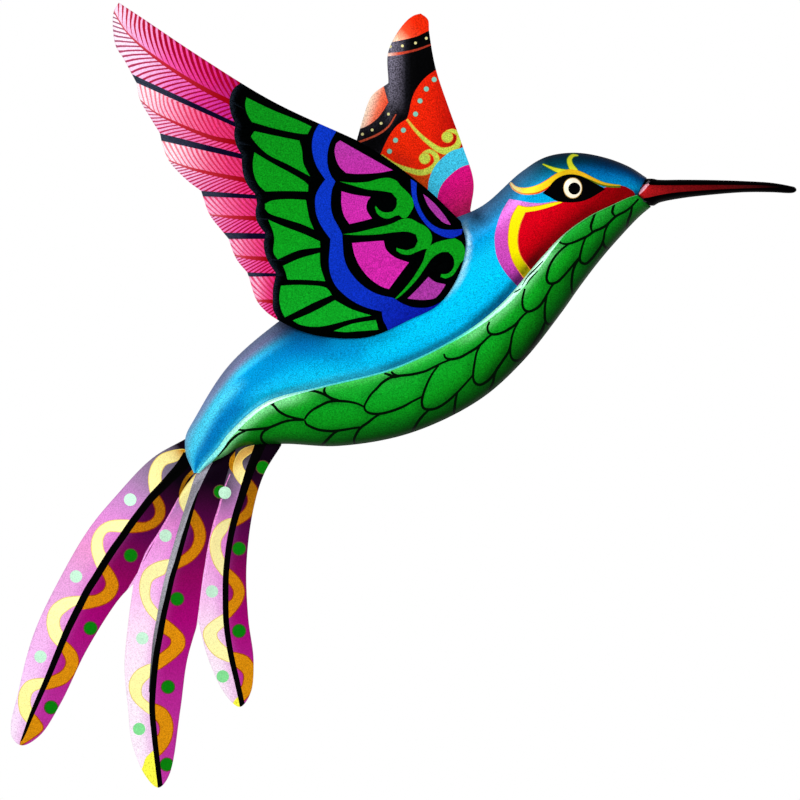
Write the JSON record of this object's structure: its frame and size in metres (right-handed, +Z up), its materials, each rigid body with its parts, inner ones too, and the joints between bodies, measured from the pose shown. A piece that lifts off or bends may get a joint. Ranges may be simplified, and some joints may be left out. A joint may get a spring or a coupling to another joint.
{
  "type": "hummingbird wall art",
  "caption": "Flying hummingbird for the wall, of pressed and painted steel sheets in layers, on a strap with a keyhole hanger.",
  "frame": {"origin": "where the nail sits, in the top of the keyhole slot, on the wall plane", "axes": "+X to the right as seen from the front, the way the bill points; +Y from the bird to the wall; +Z up"},
  "size_m": [0.2988, 0.0226, 0.2982],
  "materials": {
    "body_paint": "satin metallic enamel, blue back and green belly",
    "bill_paint": "satin black enamel with a dark red streak",
    "near_wing_paint": "satin metallic enamel, black plate with green, blue and magenta cells, pink feathers",
    "far_wing_paint": "satin metallic enamel, orange, black and red with green scrolls",
    "tail_paint": "satin metallic enamel, magenta with orange waves and dots",
    "black_paint": "plain black paint",
    "zinc": "bright zinc plating"
  },
  "bodies": {
    "root": {"body_shell": "body_paint", "bill": "bill_paint", "near_wing": "near_wing_paint", "far_wing": "far_wing_paint", "tail_fan": "tail_paint", "back_strap": "black_paint", "hanger_plate": "zinc", "tail_rivet_1": "zinc", "tail_rivet_2": "zinc", "far_wing_rivet_1": "zinc", "far_wing_rivet_2": "zinc", "hanger_rivet_1": "zinc", "hanger_rivet_2": "zinc", "body_post_1": "zinc", "body_post_2": "zinc", "body_post_3": "zinc", "body_screw_1": "zinc", "body_screw_2": "zinc", "body_screw_3": "zinc", "wing_stud_1": "zinc", "wing_stud_2": "zinc", "wing_nut_1": "zinc", "wing_nut_2": "zinc"}
  },
  "joints": []
}
